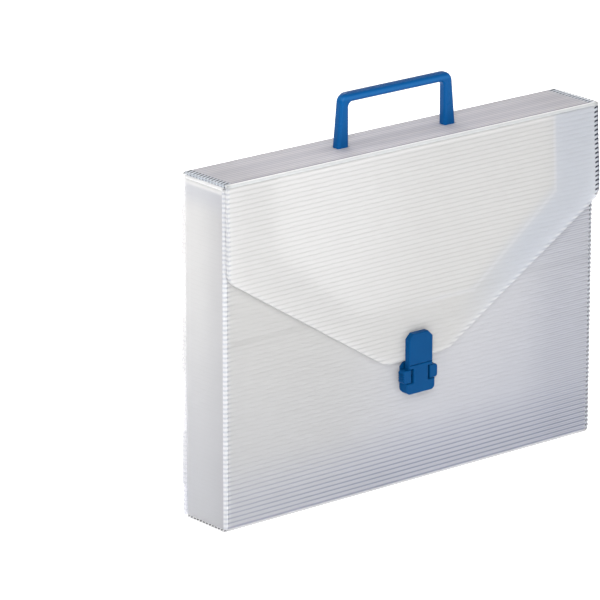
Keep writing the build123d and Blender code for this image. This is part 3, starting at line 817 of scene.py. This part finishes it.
def sheet_material(
    name,
    along,
    phase,
    contrast=0.06,
    pale=PALE,
    tints=(),
    foot=0.0,
    beads=None,
    slashes=(),
    through_flap=False,
    mouth=None,
    streaks=0.0,
    clear=0.5,
    groove=DEEP,
):
    """Natural fluted sheet, with a line for each rib. The ribs follow each other along the axis along.

    phase is where a flute starts on that axis, contrast how strong the lines are, and groove their
    colour. tints are (axis, start, end, strength, colour), each growing from start to end along its
    axis. foot paints shade low down: a cooler colour and deeper lines. beads gives where the pinched
    flutes beside the upright corners start and how strong they are: stress whitening with painted
    highlights, and painted shade between them. slashes are the sign, lean and begin of strokes of
    painted shade and highlight. through_flap is for the flap, and paints the front panel behind it as
    painted shade, fainter lines and a painted pale rim. mouth is the middle height of a flat board whose
    flutes get painted shade behind their ends. streaks makes some flutes darker than others, and clear
    is the share of the light that passes straight.
    """
    material = new_material(name)
    nodes = Nodes(material)
    place = nodes.place()
    across = nodes.math("SUBTRACT", place[along], phase)
    turn = nodes.math("FRACT", nodes.math("DIVIDE", across, PITCH))
    away = nodes.off(turn, 0.5)
    rib = nodes.ramp(away, 0.26, 0.5)
    side = nodes.math("ABSOLUTE", place[X])
    colour = nodes.mix(nodes.product(nodes.noise(9, 2), 0.06), pale, CLOUD)
    for axis, start, end, strength, tint in tints:
        colour = nodes.mix(nodes.ramp(place[axis], start, end, 0.0, strength), colour, tint)
    depth = contrast
    # Painted shade low down: a cooler colour and deeper lines.
    if foot:
        colour, low = painted_foot_shade(nodes, place, turn, colour)
        depth = nodes.math("MULTIPLY_ADD", low, foot, contrast)
    if streaks:
        uneven = nodes.ramp(nodes.noise(180, 1, (0.02, 1, 1)), 0.35, 0.65, 0.0, streaks)
        colour = nodes.mix(uneven, colour, DEEP)
    # Painted shade, fainter lines and a painted pale rim for the front panel seen through the flap.
    if through_flap:
        behind, hidden, rim = behind_flap(nodes, place)
        rib = nodes.product(rib, nodes.math("MULTIPLY_ADD", hidden, -0.75, 1.0))
        colour = nodes.mix(rim, colour, (0.97, 0.98, 1.0, 1))
    colour = nodes.mix(nodes.product(rib, depth), colour, groove)
    # Beads: stress whitening with painted highlights, and painted shade between them.
    if beads:
        bead = nodes.mix(nodes.ramp(away, 0.14, 0.42), WHITE, (0.66, 0.69, 0.77, 1))
        colour = nodes.mix(nodes.product(nodes.ramp(side, beads[0], 0.1885), beads[1]), colour, bead)
    # Painted shade over the right ear and slope, then painted highlights along the slanted edges.
    if through_flap:
        seen_through_shade = nodes.product(behind, nodes.math("MULTIPLY_ADD", rim, -0.6, 0.85))
        colour = slanted_edge_highlights(nodes, place, side, away, nodes.mix(seen_through_shade, colour, SKY))
    # Strokes of painted shade in the flutes' ends, with painted highlights between them.
    for slash in slashes:
        colour = strokes(nodes, place, turn, colour, *slash)
    # Painted shade just behind the flutes' cut ends.
    if mouth:
        colour = dark_ends(nodes, place, side, colour, mouth)
    scattered(nodes, colour, clear, nodes.bump(nodes.math("SUBTRACT", 1.0, rib), 0.3, 0.0004))
    return material


def front_material():
    """The front panel, with painted shade: cooler towards the right and the foot, greyer on the left, and a dark line
    along its foot.
    """
    return sheet_material(
        "sheet_front",
        Z,
        FIRST_FLUTE,
        0.03,
        (0.88, 0.88, 0.89, 1),
        tints=(
            (Z, 0.19, 0.02, 0.45, COOL),
            (X, 0.0, 0.185, 0.50, COOL),
            (X, 0.02, -0.10, 0.5, (0.74, 0.74, 0.72, 1)),
            (Z, 0.0052, 0.0040, 0.55, (0.44, 0.42, 0.56, 1)),
        ),
        foot=0.75,
        beads=(0.1830, 0.8),
        slashes=((1, -60.0, 0.1848),),
    )


def flap_material():
    """The flap, with painted shade that makes it a little duller towards the right, and a painted highlight as a white
    line under its crease.
    """
    return sheet_material(
        "sheet_flap",
        Z,
        FLAP_TIP[1] + 0.00089,
        0.18,
        tints=((X, -0.09, 0.03, 0.30, (0.80, 0.80, 0.79, 1)), (Z, 0.2742, 0.2752, 0.8, WHITE)),
        beads=(0.1865, 0.7),
        slashes=((1, -60.0, 0.1846),),
        through_flap=True,
        groove=(0.36, 0.38, 0.37, 1),
    )


def lid_material():
    """The lid, with uneven dark grooves, painted shade as a dark line beside the flap's crease, and painted strokes of
    shade and highlight at both ends.
    """
    return sheet_material(
        "sheet_lid",
        Y,
        FLAP_Y,
        0.50,
        (0.99, 0.97, 0.985, 1),
        tints=((Y, -0.0245, -0.0258, 0.6, (0.30, 0.30, 0.36, 1)), (X, -0.06, -0.18, 0.14, GREY)),
        slashes=((-1, -90.0, 0.1828), (1, -60.0, 0.1815)),
        streaks=0.14,
    )


def back_material():
    """The back panel, with painted shade: cooler and with deeper lines towards its foot."""
    return sheet_material("sheet_back", Z, BOARD, 0.16, tints=((Z, 0.19, 0.02, 0.35, COOL),), foot=0.3)


def side_material():
    """The side panels: shaded towards the foot and the front, with a shadow and a white line at the top."""
    return sheet_material(
        "sheet_side",
        Z,
        BOARD,
        0.02,
        (0.93, 0.93, 0.93, 1),
        tints=(
            (Z, 0.24, 0.02, 0.62, (0.70, 0.71, 0.745, 1)),
            (Y, 0.012, -0.023, 0.40, GREY),
            (Z, 0.250, 0.268, 0.40, COOL),
            (Z, 0.2695, 0.2725, 0.95, WHITE),
        ),
    )


def fold_material(name, slashes):
    """The beads of a corner fold: stress whitening with painted highlights, and painted shade between the beads."""
    pale = (0.82, 0.83, 0.86, 1)
    return sheet_material(name, Z, FIRST_FLUTE, 0.0, pale, beads=(0.18, 0.55), slashes=slashes, clear=0.25)


def crease_material():
    """Crushed sheet: painted shade as a dark line and a painted highlight as a bright one beside the lid, and a duller
    band below them.
    """
    material = new_material("sheet_crease")
    nodes = Nodes(material)
    across = nodes.add("ShaderNodeAttribute", attribute_name="across").outputs["Fac"]
    streak = nodes.noise(500, 2, (0.04, 1, 1))
    band = nodes.mix(nodes.product(streak, 0.5), (0.64, 0.66, 0.67, 1), (0.72, 0.74, 0.75, 1))
    colour = nodes.mix(nodes.ramp(across, 0.46, 0.36), band, WHITE)
    colour = nodes.mix(nodes.ramp(across, 0.10, 0.02), colour, (0.45, 0.45, 0.5, 1))
    scattered(nodes, colour, 0.05, through_share=0.2)
    return material


def mouth_shade_material():
    """The inside of a flute just behind its cut end, painted nearly black as shade against the bright sheet."""
    material = new_material("sheet_mouth")
    nodes = Nodes(material)
    colour = nodes.mix(nodes.noise(400, 2), (0.010, 0.014, 0.040, 1), (0.035, 0.045, 0.10, 1))
    nodes.shader.inputs["Roughness"].default_value = 0.5
    nodes.shader.inputs["Specular IOR Level"].default_value = 0.2
    nodes.join(nodes.shader.inputs["Base Color"], colour)
    return material


# The other materials

def moulded_material(name, colour, roughness, deep, gloss=0.05):
    """Moulded plastic with a fine spark-eroded grain and slightly uneven gloss."""
    material = new_material(name)
    nodes = Nodes(material)
    cloud = nodes.noise(60, 3)
    uneven = nodes.ramp(cloud, 0.3, 0.7, roughness - 0.05, roughness + 0.06)
    nodes.join(nodes.shader.inputs["Base Color"], nodes.mix(cloud, colour, deep))
    nodes.join(nodes.shader.inputs["Roughness"], uneven)
    nodes.join(nodes.shader.inputs["Normal"], nodes.bump(nodes.noise(2600, 2), 0.12, 0.0001))
    nodes.shader.inputs["Specular IOR Level"].default_value = gloss
    return material


def handle_material():
    """The handle's blue, with a painted highlight along the raised middle of its bar and painted shade on top of it."""
    blue, deep = (0.0012, 0.088, 0.285, 1), (0.001, 0.074, 0.25, 1)
    material = moulded_material("blue_handle_plastic", blue, 0.30, deep, 0.1)
    nodes = Nodes(material)
    height = nodes.place()[Z]
    plain = nodes.shader.inputs["Base Color"].links[0].from_socket
    # Painted highlight along the raised middle of the bar.
    ridge_highlight = nodes.product(nodes.ramp(height, 0.3170, 0.3186), nodes.ramp(height, 0.3208, 0.3194, 0.0, 0.45))
    colour = nodes.mix(ridge_highlight, plain, (0.016, 0.145, 0.40, 1))
    # Painted shade on top of the bar.
    colour = nodes.mix(nodes.ramp(height, 0.3206, 0.3222, 0.0, 0.5), colour, (0.001, 0.050, 0.17, 1))
    nodes.join(nodes.shader.inputs["Base Color"], colour)
    return material


def clasp_material():
    """The clasp's blue."""
    blue, deep = (0.001, 0.064, 0.20, 1), (0.001, 0.052, 0.17, 1)
    return moulded_material("blue_clasp_plastic", blue, 0.36, deep)


def backing_material():
    """The pale plastic of the clasp's backing plates and rivets."""
    return moulded_material("backing_plastic", (0.80, 0.82, 0.82, 1), 0.4, (0.76, 0.78, 0.78, 1))


def steel_material():
    """Drawn spring wire."""
    material = new_material("steel")
    nodes = Nodes(material)
    nodes.shader.inputs["Metallic"].default_value = 1.0
    nodes.shader.inputs["Base Color"].default_value = (0.62, 0.62, 0.62, 1)
    nodes.join(nodes.shader.inputs["Roughness"], nodes.ramp(nodes.noise(900, 2), 0.3, 0.7, 0.22, 0.4))
    return material


# All pieces

def dress(material, *names):
    """Gives these CAD nodes one material."""
    for name in names:
        slots = frame["nodes"][name].data.materials
        slots.clear()
        slots.append(material)


def dress_nodes():
    """Materials for the pieces that keep their mesh."""
    dress(back_material(), "back_panel")
    dress(lid_material(), "lid_panel")
    dress(side_material(), "left_side_panel", "right_side_panel")
    # The bottom and the base folds, with painted shade just behind their flutes' cut ends.
    inside = sheet_material("sheet_inside", Y, 0.0, 0.10, mouth=BOARD / 2)
    dress(inside, "bottom_panel", "front_base_fold", "back_base_fold")
    dress(sheet_material("sheet_dust", X, 0.0, 0.05), "left_dust_flap", "right_dust_flap")
    dress(handle_material(), "handle")
    clasp = clasp_material()
    dress(clasp, "hasp_plate", "hasp_cover", "catch_base", "left_release_button", "right_release_button")
    dress(backing_material(), "hasp_backing", "hasp_rivets", "catch_backing", "catch_rivets")


def add_pieces():
    """The detailed pieces that replace the other nodes."""
    add_flap(flap_material(), mouth_shade_material())
    add_front(front_material())
    for side, end, slashes in ((-1, "left", ()), (1, "right", ((1, -60.0, 0.1855),))):
        beads = fold_material(f"sheet_{end}_fold", slashes)
        add_corner_fold(side, f"{end}_fold_beads", f"{end}_corner_fold", beads)
    add_creases(crease_material(), sheet_material("sheet_dust_crease", X, 0.0, 0.0, WHITE, clear=0.1))
    steel = steel_material()
    for end in ("left", "right"):
        add_spring(f"{end}_button_spring", f"{end}_button_press", steel)


def write_sizes():
    """Writes the CAD model's box and the visual model's box."""
    boxes = {"cad": cad_box, "visual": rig.bounds()}
    plain = {name: [[float(item) for item in corner] for corner in box] for name, box in boxes.items()}
    with open("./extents.json", "w") as file:
        json.dump(plain, file, indent=1)


bpy.context.scene.view_settings.view_transform = "Standard"
add_camera()
add_floor()
add_lights()
dress_nodes()
add_pieces()
write_sizes()
